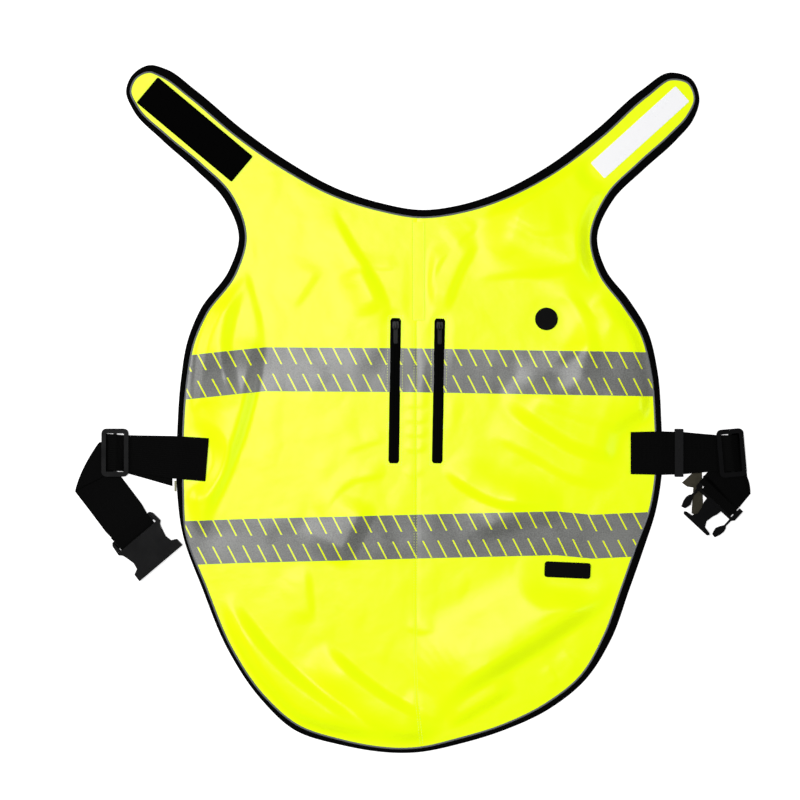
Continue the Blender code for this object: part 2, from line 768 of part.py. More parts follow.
def buckle_socket(look):
    height, floor, roof, bar_low, bar_top = 9.0, 2.0, 7.0, 2.0, 4.2
    at = anchor("buckle_socket_seat", -286.1, -175.3, -139.8)
    body = plate("buckle_socket", [mirrored(SOCKET_OUTLINE)], 0, height, look)
    body.parent = at
    cutter(at, body, "mouth", (-26.5, -10.5, floor), (26.5, 3, roof), look)
    cutter(at, body, "prong_room", (-40, -29.5, floor), (40, -10, roof), look)
    cutter(at, body, "belt_well", (-26, -60, bar_top), (26, -40.2, 12), look)
    cutter(at, body, "belt_underside", (-26, -60, -3), (26, -40.2, bar_low), look)
    cutter(at, body, "belt_slot", (-26, -43.6, -3), (26, -40.2, 12), look)


def buckle_plug(look):
    low, high, bar_low, bar_top = 1.1, 7.1, 2.9, 4.9
    at = anchor("buckle_plug_seat", 343.0, -109.0, 180 - math.degrees(math.atan2(0.681, 0.732)))
    body = plate("buckle_plug", [PLUG_BASE], low, high, look)
    body.parent = at
    cutter(at, body, "plug_well", (-24.4, -30, bar_top), (24.4, -3.3, 12), look)
    cutter(at, body, "plug_underside", (-24.4, -30, -3), (24.4, -3.3, bar_low), look)
    cutter(at, body, "plug_slot", (-24.4, -7.0, -3), (24.4, -3.3, 12), look)
    cutter(at, body, "plug_low_rail", (24.0, -30, bar_top - 0.5), (40, -3.3, 12), look)
    cutter(at, body, "plug_rear", (-24.4, -30, -3), (24.4, -13.0, 12), look)
    pieces = (
        ("prong_right", PLUG_PRONG),
        ("prong_left", [(-x, y) for x, y in reversed(PLUG_PRONG)]),
        ("guide", mirrored(PLUG_GUIDE)),
    )
    for name, outline in pieces:
        piece = plate(name, [outline], 2.1, 6.1, look, helpers)
        piece.parent = at
        boolean(body, piece, "UNION")


clear_scene()
cloth_and_tape()
binding_and_piping()
zips()
patches()
WEBBING_LOOK = material("webbing", BLACK, 0.85)
ACETAL = material("moulded_acetal", (0.016, 0.016, 0.017), 0.4)
left_belt(WEBBING_LOOK, ACETAL)
right_belt(WEBBING_LOOK, ACETAL)
buckle_socket(ACETAL)
buckle_plug(ACETAL)
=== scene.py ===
"""Dog safety vest laid out flat: yellow cloth, reflective tape, black binding and a belt with a buckle."""
import math

import bmesh
import bpy
import numpy as np
from mathutils import Matrix, Vector, kdtree, noise


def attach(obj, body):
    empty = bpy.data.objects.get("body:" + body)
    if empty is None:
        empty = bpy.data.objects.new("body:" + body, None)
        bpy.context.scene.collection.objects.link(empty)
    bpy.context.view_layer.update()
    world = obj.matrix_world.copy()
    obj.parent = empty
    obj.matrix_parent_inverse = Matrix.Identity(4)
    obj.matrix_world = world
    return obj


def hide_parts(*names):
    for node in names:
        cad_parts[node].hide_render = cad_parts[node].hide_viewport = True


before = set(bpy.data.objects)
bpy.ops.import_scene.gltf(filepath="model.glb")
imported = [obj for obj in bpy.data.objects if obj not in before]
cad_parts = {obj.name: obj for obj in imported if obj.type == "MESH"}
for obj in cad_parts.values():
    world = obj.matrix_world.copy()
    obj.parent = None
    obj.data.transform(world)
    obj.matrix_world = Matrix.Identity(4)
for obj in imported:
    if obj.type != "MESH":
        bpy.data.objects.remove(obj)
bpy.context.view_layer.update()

# Studio
# A white table with the camera straight above it and a soft box above the left shoulder, so that each
# fold is bright on its left and shaded on its right, in an even white room, as for a catalogue.
PIXEL = 0.00114


def seen(px, py):
    """A pixel of the photo as a place on the table, in metres."""
    return (px - 412.5) * PIXEL, (409 - py) * PIXEL


def linear(colour):
    """A hex colour as the renderer's linear red, green, blue and alpha."""
    parts = [int(colour[i : i + 2], 16) / 255 for i in (1, 3, 5)]
    return (*(c / 12.92 if c <= 0.04045 else ((c + 0.055) / 1.055) ** 2.4 for c in parts), 1.0)


def new_finish(name, sockets):
    """A material and its shader, with the shader's own sockets set."""
    material = bpy.data.materials.new(name)
    material.use_nodes = True
    shader = material.node_tree.nodes["Principled BSDF"]
    for socket, value in sockets.items():
        shader.inputs[socket].default_value = value
    return material, shader


lens = bpy.data.cameras.new("camera")
lens.lens = 120
camera = bpy.data.objects.new("camera", lens)
bpy.context.scene.collection.objects.link(camera)
camera.location = (*seen(400, 400), 800 * PIXEL * lens.lens / lens.sensor_width)
bpy.context.scene.camera = camera
bpy.context.scene.view_settings.view_transform = "Standard"

table_white, table_shader = new_finish(
    "white_table",
    {
        "Base Color": linear("#F6F6F6"),
        "Roughness": 0.95,
        "Specular IOR Level": 0.1,
        "Emission Color": linear("#FFFFFF"),
        "Emission Strength": 0.55,
    },
)
bm = bmesh.new()
bmesh.ops.create_grid(bm, x_segments=1, y_segments=1, size=4.0)
bmesh.ops.translate(bm, verts=bm.verts, vec=(0, 0, -0.0003))
table_mesh = bpy.data.meshes.new("table")
bm.to_mesh(table_mesh)
bm.free()
table_mesh.materials.append(table_white)
table = bpy.data.objects.new("table", table_mesh)
bpy.context.scene.collection.objects.link(table)

room = bpy.data.worlds.new("room")
room.use_nodes = True
room.node_tree.nodes["Background"].inputs["Color"].default_value = linear("#FFFFFF")
room.node_tree.nodes["Background"].inputs["Strength"].default_value = 0.18
bpy.context.scene.world = room

for name, place, size, power in (
    ("soft_box_above", (-0.55, 0.25, 3.3), 1.0, 54.0),
    ("soft_box_left", (-2.1, 0.5, 1.7), 0.9, 24.0),
    ("soft_box_right", (2.2, -0.6, 1.9), 0.9, 12.0),
):
    lamp = bpy.data.lights.new(name, "AREA")
    lamp.size = size
    lamp.energy = power
    light = bpy.data.objects.new(name, lamp)
    bpy.context.scene.collection.objects.link(light)
    light.location = place
    light.rotation_euler = (-Vector(place)).to_track_quat("-Z", "Y").to_euler()

# Panels
# Two halves of coated fluorescent polyester, about 0.3 mm thick with its lining, cut to the
# vest's outline and sewn together down the back. They lie on the table in soft folds.
MM = 0.001
CLOTH = 1.2 * MM
CELL = 2.7 * MM

# The seam down the back, neck to hem. Columns in mm: x, y.
SEAM = ((5.0, 400.0), (5.0, -292.0), (6.5, -332.0), (14.0, -400.0))

# The cut edge, anticlockwise from the middle of the neck; HEM_ROW is the row at the hem's middle. Columns
# in mm: x, y, width of the binding.
OUTLINE = (
    (11, 227, 7.5), (-37, 235, 7.5), (-83, 250, 8), (-145, 284, 9), (-193, 318, 9.5), (-248, 364, 9.5),
    (-281, 387.5, 9), (-300, 392, 7), (-319, 381, 4.5), (-326.5, 362, 4), (-318.5, 341, 5), (-285.5, 306.5, 6.5),
    (-247, 272.5, 8), (-214, 238, 8.5), (-198, 195, 7), (-209, 158.5, 7.5), (-242, 113, 7.5), (-256, 79, 6.5),
    (-264, 33, 6), (-268, -23, 5.5), (-268.5, -92, 6), (-263, -138, 3), (-239, -206, 3.5), (-210, -275, 3.5),
    (-172, -331.5, 4), (-135, -365.5, 5.5), (-83, -382.5, 4.5), (7, -391.1, 4), (54, -381.5, 5), (105.5, -365.5, 5),
    (157, -341, 6), (197, -308.5, 6), (226, -263, 8), (247, -206, 8), (263, -160.5, 8), (277.5, -115, 6),
    (283.5, -80, 6), (283.5, -12, 6), (279, 44.5, 6.5), (267.5, 90, 7.5), (247, 124, 8.5), (220.5, 158.5, 7.5),
    (210.5, 195, 6.5), (228.5, 238, 8), (263, 272.5, 8.5), (300.5, 306.5, 8.5), (320, 330, 7), (327, 354, 4.5),
    (318, 376, 5), (294, 383.5, 7), (261.5, 364, 8.5), (209, 318, 9.5), (147.5, 272.5, 9.5), (88.5, 243, 8),
    (54, 232.5, 7.5),
)
HEM_ROW = 27

# Soft folds. The shaded flank of each lies along these points. Columns in mm: points, width, height.
FOLDS = (
    (((-191, 150), (-206, 110), (-214, 70), (-204, 24), (-196, 0)), 38, 5.0),
    (((-168, 96), (-177, 60), (-185, 7), (-207, -60), (-232, -114), (-240, -150)), 36, 7.6),
    (((-60, 168), (-42, 130), (-33, 112)), 26, 2.2),
    (((78, 196), (50, 150), (38, 106)), 24, 2.4),
    (((160, 160), (184, 128), (205, 88), (208, 40)), 40, 4.6),
    (((96, 20), (125, -8), (150, -24), (192, -50), (250, -60)), 46, 6.6),
    (((30, -66), (50, -84), (94, -110), (150, -116)), 26, 4.2),
    (((-44, -104), (-60, -140), (-84, -184)), 34, 3.6),
    (((70, -150), (120, -128), (176, -122)), 34, 3.4),
    (((-210, -206), (-198, -231), (-157, -286), (-82, -346), (-30, -372)), 36, 8.4),
    (((-104, -262), (-84, -284), (-55, -311), (-10, -340), (40, -362)), 32, 6.8),
    (((236, -196), (200, -230), (130, -276), (52, -322), (26, -352)), 48, 10.4),
    (((120, -314), (80, -340), (38, -364)), 28, 3.8),
    (((66, 190), (130, 172), (214, 130)), 96, 8.4),
    (((150, 46), (214, 6), (282, -26)), 92, 8.0),
    (((-262, 20), (-250, -20), (-262, -60)), 22, 3.0),
)

# Finer creases of the same kind. Columns: points in the photo's pixels, width in mm, height in mm.
CREASES = (
    (((328, 198), (345, 233), (356, 251), (372, 275), (384, 297), (393, 326)), 22, 2.6),
    (((352, 266), (380, 270), (400, 268)), 12, 0.7),
    (((455, 246), (440, 262), (431, 285), (424, 312)), 14, 1.0),
    (((480, 226), (462, 240), (452, 250)), 16, 0.9),
    (((468, 279), (500, 277), (530, 274), (567, 271), (590, 255)), 24, 1.6),
    (((500, 212), (520, 226), (540, 236), (570, 232)), 26, 1.7),
    (((545, 292), (570, 297), (590, 312), (604, 334)), 16, 1.1),
    (((600, 296), (622, 330)), 14, 0.9),
    (((243, 262), (250, 285), (256, 305), (262, 330), (260, 346)), 20, 1.5),
    (((323, 266), (308, 290), (292, 312)), 22, 1.0),
    (((190, 415), (202, 405), (216, 400)), 12, 0.7),
    (((192, 470), (200, 492), (196, 512)), 14, 0.9),
    (((520, 398), (560, 412), (600, 425), (645, 440)), 34, 2.4),
    (((480, 434), (518, 449), (550, 468), (575, 482), (620, 488)), 30, 2.4),
    (((496, 500), (530, 506), (562, 506)), 14, 1.0),
    (((392, 474), (370, 478), (350, 482), (332, 500), (322, 520)), 13, 0.8),
    (((392, 440), (370, 444), (340, 456)), 12, 0.5),
    (((402, 406), (418, 409), (432, 404)), 9, 0.5),
    (((402, 420), (418, 424), (431, 419)), 9, 0.6),
    (((402, 434), (418, 438), (431, 433)), 9, 0.6),
    (((401, 448), (416, 453), (430, 447)), 9, 0.6),
    (((401, 470), (412, 480), (424, 470)), 10, 0.5),
    (((307, 564), (310, 590), (313, 625)), 20, 1.4),
    (((205, 575), (216, 600), (222, 618)), 14, 0.8),
    (((348, 709), (372, 724), (400, 734), (430, 736)), 16, 1.2),
    (((399, 704), (425, 716), (445, 724)), 16, 1.4),
    (((404, 628), (420, 634), (436, 630)), 12, 0.7),
    (((537, 567), (549, 580), (560, 594)), 14, 0.9),
    (((562, 648), (575, 660), (588, 674)), 14, 0.9),
    (((548, 664), (560, 684)), 10, 0.6),
    (((590, 596), (560, 612), (530, 626)), 12, 0.6),
    (((241, 230), (252, 240), (256, 262)), 14, 0.8),
    (((588, 228), (580, 250), (584, 276)), 14, 0.9),
    (((160, 92), (196, 122), (236, 170)), 14, 0.5),
    (((640, 170), (620, 182), (606, 200)), 14, 0.7),
)
LIT_FROM = (-1.0, 0.6)  # the side of a fold that the main lamp reaches


def smooth_edge(step):
    """Points (x, y, binding width) on a smooth curve through the outline, in mm, and where each row lies."""
    rows = [Vector(row) for row in OUTLINE]
    count = len(rows)
    spans = [(rows[(i + 1) % count] - rows[i]).xy.length for i in range(count)]
    slopes = []
    for i in range(count):
        before, after = spans[i - 1], spans[i]
        back, ahead = (rows[i] - rows[i - 1]) / before, (rows[(i + 1) % count] - rows[i]) / after
        slopes.append((back * after + ahead * before) / (before + after))
    points, starts = [], []
    for i in range(count):
        starts.append(len(points))
        steps = max(1, round(spans[i] / step))
        for t in (k / steps for k in range(steps)):
            points.append(
                rows[i] * (2 * t**3 - 3 * t**2 + 1)
                + slopes[i] * spans[i] * (t**3 - 2 * t**2 + t)
                + rows[(i + 1) % count] * (3 * t**2 - 2 * t**3)
                + slopes[(i + 1) % count] * spans[i] * (t**3 - t**2)
            )
    return points, starts


EDGE, ROW_STARTS = smooth_edge(4.0)
EDGE_TREE = kdtree.KDTree(len(EDGE))
for i, point in enumerate(EDGE):
    EDGE_TREE.insert((point.x, point.y, 0), i)
EDGE_TREE.balance()


def inwards(i):
    """The direction into the cloth at a point of the edge."""
    along = (EDGE[(i + 1) % len(EDGE)] - EDGE[i - 1]).xy.normalized()
    return Vector((-along.y, along.x))


def distance_to(points, a, b):
    """How far points are from the line between two others, in mm."""
    a, b = np.array(a, float), np.array(b, float)
    share = np.clip((points - a) @ (b - a) / ((b - a) @ (b - a)), 0, 1)
    return np.linalg.norm(points - a - share[:, None] * (b - a), axis=1)


def fold_lift(points, shaded, width, height):
    """How far one soft fold lifts each point. Its shaded flank is steep, its lit one gentle, its ends die out."""
    line = np.array(shaded, float)
    for _ in range(3):
        inner = np.stack([line[:-1] * 0.75 + line[1:] * 0.25, line[:-1] * 0.25 + line[1:] * 0.75], axis=1)
        line = np.concatenate([line[:1], inner.reshape(-1, 2), line[-1:]])
    reach = 2.1 * width
    near = np.all((points > line.min(axis=0) - reach) & (points < line.max(axis=0) + reach), axis=1)
    lift = np.zeros(len(points))
    if not near.any():
        return lift
    here, whole = points[near], line[-1] - line[0]
    side = np.sign(-whole[1] * LIT_FROM[0] + whole[0] * LIT_FROM[1])
    spans = np.linalg.norm(np.diff(line, axis=0), axis=1)
    begun = np.concatenate([[0], np.cumsum(spans)])
    nearest, offset, share = np.full(len(here), np.inf), np.zeros(len(here)), np.zeros(len(here))
    for k, (a, b) in enumerate(zip(line, line[1:])):
        part = np.clip((here - a) @ (b - a) / spans[k] ** 2, 0, 1)
        away = here - a - part[:, None] * (b - a)
        far = np.linalg.norm(away, axis=1)
        closer = far < nearest
        nearest = np.where(closer, far, nearest)
        left = (b - a)[0] * away[:, 1] - (b - a)[1] * away[:, 0]
        offset = np.where(closer, far * np.sign(left) * side, offset)
        share = np.where(closer, (begun[k] + part * spans[k]) / begun[-1], share)
    offset = offset - width / 4
    half = np.where(offset > 0, 1.7 * width, 0.5 * width)
    ends = np.clip(np.minimum(share, 1 - share) / 0.28, 0, 1)
    lift[near] = (
        height * (0.5 + 0.5 * np.cos(np.pi * np.minimum(1, np.abs(offset) / half))) * ends**2 * (3 - 2 * ends)
    )
    return lift


# Where something stiffer is sewn on, the cloth lies flat. Columns in mm: two points along it, half its
# width, and how far beyond it the cloth comes free.
SEWN = (
    ((-20, 98), (-22, -57), 7.0, 11.0),
    ((31, 97), (28, -57), 7.0, 11.0),
    ((7, 108), (7, 206), 8.0, 12.0),
    ((-300, 362), (-197, 276), 22.0, 20.0),
    ((216, 276), (303, 355), 14.5, 20.0),
    ((152, 102), (153, 103), 15.0, 42.0),
    ((161, -183), (192, -185), 12.5, 36.0),
    ((-290, -53), (-258, -56), 28.0, 24.0),
    ((270, -50), (300, -50), 28.0, 24.0),
)


def lie(points):
    """How far the cloth's top is lifted off its flat place, in metres, for points in metres."""
    mm = np.asarray(points) / MM
    loose = np.ones(len(mm))
    for a, b, half, beyond in SEWN:
        near = np.clip((distance_to(mm, a, b) - half) / beyond, 0, 1)
        loose = np.minimum(loose, near**2 * (3 - 2 * near))
    inland = np.clip((np.array([EDGE_TREE.find((x, y, 0))[2] for x, y in mm]) - 9) / 16, 0, 1)
    loose = loose * inland**2 * (3 - 2 * inland)
    slow = np.array([noise.noise((x * 0.014, y * 0.011, 0.3)) for x, y in mm])
    quick = np.array([noise.noise((x * 0.034, y * 0.028, 4.1)) for x, y in mm])
    lift = 1.2 * np.maximum(0, slow) + 0.75 * np.maximum(0, quick)
    for shaded, width, height in CREASES:
        shaded = [(x / MM, y / MM) for x, y in (seen(*point) for point in shaded)]
        lift = lift + fold_lift(mm, shaded, width, height)
    for shaded, width, height in FOLDS:
        lift = lift + fold_lift(mm, shaded, width, height)
    return lift * loose * MM


def seam_x(y):
    """Where the back seam is at a height on the vest, in metres."""
    rows = SEAM[::-1]
    return float(np.interp(y / MM, [row[1] for row in rows], [row[0] for row in rows])) * MM


def cut(bm, faces, point, normal, snap=1e-5):
    """Cuts the faces by a plane."""
    around = {item for face in faces for item in (*face.verts, *face.edges, face)}
    bmesh.ops.bisect_plane(bm, geom=list(around), dist=snap, plane_co=point, plane_no=normal)


# Upper edges of the two bands of reflective tape, left to right, in mm. Each is 50 mm wide.
TAPE_EDGES = {
    "upper": ((-300, 56.4), (-168, 70.3), (0, 69.2), (120, 67.0), (300, 64.0)),
    "lower": ((-300, -129.3), (-196, -125.5), (0, -120.5), (163, -116.5), (205, -120.5), (300, -116.0)),
}
TAPE_WIDTH = 50 * MM


def tape_top(band, x):
    """Where the upper edge of a band of tape is, in metres."""
    rows = TAPE_EDGES[band]
    return float(np.interp(x / MM, [row[0] for row in rows], [row[1] for row in rows])) * MM


def flat_cloth():
    """The cut cloth as one flat mesh with even cells, parted at the seam and at the tape's edges."""
    bm = bmesh.new()
    under_piping = 1.2
    ring = [(point.xy + inwards(i) * (point.z + under_piping)) * MM for i, point in enumerate(EDGE)]
    bm.faces.new([bm.verts.new((*place, 0)) for place in ring])
    for (x0, y0), (x1, y1) in zip(SEAM, SEAM[1:]):
        for y in (y0, y1):
            cut(bm, bm.faces, (0, y * MM, 0), (0, 1, 0))
        part = [f for f in bm.faces if y1 * MM < f.calc_center_median().y < y0 * MM]
        cut(bm, part, (x0 * MM, y0 * MM, 0), (y0 - y1, x1 - x0, 0))
    for rows in TAPE_EDGES.values():
        for (x0, y0), (x1, y1) in zip(rows, rows[1:]):
            for drop in (0, TAPE_WIDTH / MM):
                part = [f for f in bm.faces if any(x0 * MM < v.co.x < x1 * MM for v in f.verts)]
                for x in (x0, x1):
                    cut(bm, part, (x * MM, 0, 0), (1, 0, 0))
                    part = [f for f in bm.faces if any(x0 * MM < v.co.x < x1 * MM for v in f.verts)]
                part = [f for f in bm.faces if x0 * MM < f.calc_center_median().x < x1 * MM]
                cut(bm, part, (x0 * MM, (y0 - drop) * MM, 0), (y0 - y1, x1 - x0, 0))
    low = [min(v.co[k] for v in bm.verts) for k in (0, 1)]
    high = [max(v.co[k] for v in bm.verts) for k in (0, 1)]
    for axis, normal in ((1, (0, 1, 0)), (0, (1, 0, 0))):
        for place in np.arange(low[axis] + CELL, high[axis], CELL):
            cut(bm, bm.faces, (place, 0, 0) if axis == 0 else (0, place, 0), normal, CELL / 4)
    return bm


cloth_plan = flat_cloth()


def laid(keep, above, thick, dip=0.0):
    """The kept faces of the plan as a wall that follows the folds; dip is how deep it sinks at the seam."""
    bm = cloth_plan.copy()
    bmesh.ops.delete(bm, geom=[f for f in bm.faces if not keep(f.calc_center_median())], context="FACES")
    lifts = lie([v.co.xy for v in bm.verts])
    for v, lift in zip(bm.verts, lifts):
        near_seam = math.exp(-(((v.co.x - seam_x(v.co.y)) / (2.2 * MM)) ** 2))
        v.co.z = lift + above - dip * near_seam
    bmesh.ops.recalc_face_normals(bm, faces=bm.faces)
    if sum(f.normal.z for f in bm.faces) < 0:
        bmesh.ops.reverse_faces(bm, faces=bm.faces)
    bmesh.ops.solidify(bm, geom=list(bm.faces), thickness=-thick)
    bmesh.ops.recalc_face_normals(bm, faces=bm.faces)
    return bm


def add_node(material, kind, sockets=(), **settings):
    """A node with its settings; a socket takes a value or another node's output."""
    made = material.node_tree.nodes.new(kind)
    for name, value in settings.items():
        setattr(made, name, value)
    for name, value in dict(sockets).items():
        if isinstance(value, bpy.types.NodeSocket):
            material.node_tree.links.new(value, made.inputs[name])
        else:
            made.inputs[name].default_value = value
    return made


def finished(name, bm, material, body, replaced, flat_faced=False):
    """The bmesh as a smooth-shaded piece that stands for CAD nodes; flat faces of a hard one stay even."""
    mesh = bpy.data.meshes.new(name)
    bm.to_mesh(mesh)
    bm.free()
    mesh.shade_smooth()
    mesh.set_sharp_from_angle(angle=math.radians(40))
    mesh.materials.append(material)
    piece = bpy.data.objects.new(name, mesh)
    bpy.context.scene.collection.objects.link(piece)
    if flat_faced:
        piece.modifiers.new("even_shading", "WEIGHTED_NORMAL").keep_sharp = True
    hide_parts(*replaced)
    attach(piece, body)
    return piece


# Fluorescent yellow polyester with a clear coat of polyurethane: it glows a little more than the light
# on it, its plain weave shows as a fine grain, and creases catch a soft, satin gleam.
CLOTH_YELLOW, CLOTH_PAINTED_SHADE, CLOTH_GLOW = "#ECFF00", "#E5FF00", "#E4FF00"
cloth, shader = new_finish(
    "fluorescent_coated_polyester",
    {
        "Roughness": 0.29,
        "Specular IOR Level": 0.18,
        "Emission Color": linear(CLOTH_GLOW),
        "Emission Strength": 0.2,
    },
)
place = add_node(cloth, "ShaderNodeTexCoord")
# Painted shade: the base colour is mixed in broad random patches with a greener yellow, the tone the cloth shows in
# shade, laid at random rather than in its folds.
patches = add_node(cloth, "ShaderNodeTexNoise", {"Vector": place.outputs["Object"], "Scale": 9.0, "Detail": 3.0})
tint = add_node(
    cloth,
    "ShaderNodeMix",
    {"Factor": patches.outputs["Fac"], "A": linear(CLOTH_YELLOW), "B": linear(CLOTH_PAINTED_SHADE)},
    data_type="RGBA",
)
cloth.node_tree.links.new(tint.outputs["Result"], shader.inputs["Base Color"])
THREAD = 0.9 * MM  # the real thread is 0.3 mm, drawn coarser so that it shows
weave = [
    add_node(
        cloth,
        "ShaderNodeTexWave",
        {"Vector": place.outputs["Object"], "Scale": 2 * math.pi / THREAD / 20, "Distortion": 0.4},
        bands_direction=axis,
    )
    for axis in "XY"
]
grain = add_node(
    cloth, "ShaderNodeMath", {0: weave[0].outputs["Fac"], 1: weave[1].outputs["Fac"]}, operation="MULTIPLY"
)
crumple = add_node(
    cloth, "ShaderNodeTexNoise", {"Vector": place.outputs["Object"], "Scale": 42.0, "Detail": 4.0, "Roughness": 0.45}
)
crumple_bump = add_node(
    cloth, "ShaderNodeBump", {"Height": crumple.outputs["Fac"], "Strength": 0.35, "Distance": 1.2 * MM}
)
weave_bump = add_node(
    cloth,
    "ShaderNodeBump",
    {
        "Height": grain.outputs["Value"],
        "Strength": 0.2,
        "Distance": 0.06 * MM,
        "Normal": crumple_bump.outputs["Normal"],
    },
)
cloth.node_tree.links.new(weave_bump.outputs["Normal"], shader.inputs["Normal"])

ZIPS = {"left": ((-19.1, 103.7), (-21.4, -61.9)), "right": ((31.2, 103.1), (28.1, -61.9))}
ZIP_HALF = 6.1 * MM


def zip_place(side, x, y):
    """How far a point is to the right of a zip's middle, and how far it is inside the zip's two ends."""
    (x0, y0), (x1, y1) = ZIPS[side]
    share = (y / MM - y1) / (y0 - y1)
    return x - (x1 + (x0 - x1) * share) * MM, min(y - y1 * MM, y0 * MM - y)


def in_slot(c):
    """True where the cloth is cut away under a zip."""
    hem = 1.2 * MM
    for side in ZIPS:
        across, inside = zip_place(side, c.x, c.y)
        if abs(across) < ZIP_HALF - hem and inside > hem:
            return True
    return False


for side, sign in (("left", -1), ("right", 1)):
    bm = laid(lambda c: sign * (c.x - seam_x(c.y)) > 0 and not in_slot(c), 0, CLOTH, dip=0.35 * MM)
    finished("cloth_" + side, bm, cloth, "vest", ["panel_" + side])

# Reflective tape
# Silver film with glass beads, 50 mm wide, pressed on across the shoulders and the loin. It is cut into
# a segmented pattern, two rows of slanting gaps through which the yellow cloth shows, so that it bends.
TAPE_THICK = 0.4 * MM
GAP_PITCH, GAP_WIDE, GAP_LEAN, GAP_START = 17.1 * MM, 1.9 * MM, 0.51, -6.0 * MM
silver, shader = new_finish("glass_bead_tape", {"Roughness": 0.27, "Specular IOR Level": 0.3})
along = add_node(silver, "ShaderNodeUVMap", uv_map="tape")
apart = add_node(silver, "ShaderNodeSeparateXYZ", {"Vector": along.outputs["UV"]})
lower_row = add_node(silver, "ShaderNodeMath", {0: apart.outputs["Y"], 1: 0.60}, operation="GREATER_THAN")
drop = add_node(
    silver,
    "ShaderNodeMath",
    {0: lower_row.outputs["Value"], 1: -0.61, 2: apart.outputs["Y"]},
    operation="MULTIPLY_ADD",
)
slide = add_node(
    silver,
    "ShaderNodeMath",
    {0: drop.outputs["Value"], 1: -GAP_LEAN * TAPE_WIDTH, 2: apart.outputs["X"]},
    operation="MULTIPLY_ADD",
)
turns = add_node(silver, "ShaderNodeMath", {0: slide.outputs["Value"], 1: GAP_PITCH}, operation="WRAP")
turns.inputs[2].default_value = 0.0
in_gap = add_node(silver, "ShaderNodeMath", {0: turns.outputs["Value"], 1: GAP_WIDE}, operation="LESS_THAN")
in_row = add_node(silver, "ShaderNodeMath", {0: drop.outputs["Value"], 1: 0.38}, operation="LESS_THAN")
gap = add_node(silver, "ShaderNodeMath", {0: in_gap.outputs["Value"], 1: in_row.outputs["Value"]}, operation="MULTIPLY")
place = add_node(silver, "ShaderNodeTexCoord")
beads = add_node(silver, "ShaderNodeTexNoise", {"Vector": place.outputs["Object"], "Scale": 700.0, "Detail": 2.0})
# The grey is lighter and darker in broad random patches, with the fine grain of the beads over it.
broad_mottle = add_node(silver, "ShaderNodeTexNoise", {"Vector": place.outputs["Object"], "Scale": 12.0, "Detail": 5.0})
speck = add_node(
    silver,
    "ShaderNodeMath",
    {0: beads.outputs["Fac"], 1: 0.7, 2: broad_mottle.outputs["Fac"]},
    operation="MULTIPLY_ADD",
)
grey = add_node(silver, "ShaderNodeValToRGB", {"Fac": speck.outputs["Value"]})
grey.color_ramp.elements[0].position, grey.color_ramp.elements[0].color = 0.55, linear("#585956")
grey.color_ramp.elements[1].position, grey.color_ramp.elements[1].color = 1.1, linear("#80817E")
colour = add_node(
    silver,
    "ShaderNodeMix",
    {"Factor": gap.outputs["Value"], "A": grey.outputs["Color"], "B": linear("#F2FF08")},
    data_type="RGBA",
)
silver.node_tree.links.new(colour.outputs["Result"], shader.inputs["Base Color"])
bump = add_node(silver, "ShaderNodeBump", {"Height": beads.outputs["Fac"], "Strength": 0.4, "Distance": 0.1 * MM})
silver.node_tree.links.new(bump.outputs["Normal"], shader.inputs["Normal"])

for band, side, part, nodes in (
    ("upper", "left", "outer", ["tape_upper_left"]),
    ("upper", "left", "inner", ["tape_upper_middle_left"]),
    ("upper", "right", "inner", ["tape_upper_middle_right"]),
    ("upper", "right", "outer", ["tape_upper_right"]),
    ("lower", "left", "whole", ["tape_lower_left"]),
    ("lower", "right", "whole", ["tape_lower_right"]),
):
    sign = -1 if side == "left" else 1

    def in_piece(c):
        top = tape_top(band, c.x)
        beyond = sign * zip_place(side, c.x, c.y)[0] > 0
        return (
            sign * (c.x - seam_x(c.y)) > 0
            and top - TAPE_WIDTH < c.y < top
            and not in_slot(c)
            and (part == "whole" or beyond == (part == "outer"))
        )

    bm = laid(in_piece, CLOTH + 0.03 * MM, TAPE_THICK, dip=0.35 * MM)
    uv = bm.loops.layers.uv.new("tape")
    for face in bm.faces:
        for corner in face.loops:
            x, y = corner.vert.co.xy
            corner[uv].uv = (x - GAP_START, (tape_top(band, x) - y) / TAPE_WIDTH)
    finished("_".join(["reflective", band, side, part]), bm, silver, "vest", nodes)

# Binding and piping
# The raw edge is folded into black woven binding, widest at the neck. A thin reflective piping is
# caught in the same seam, just inside it.
PIPING = 2.2


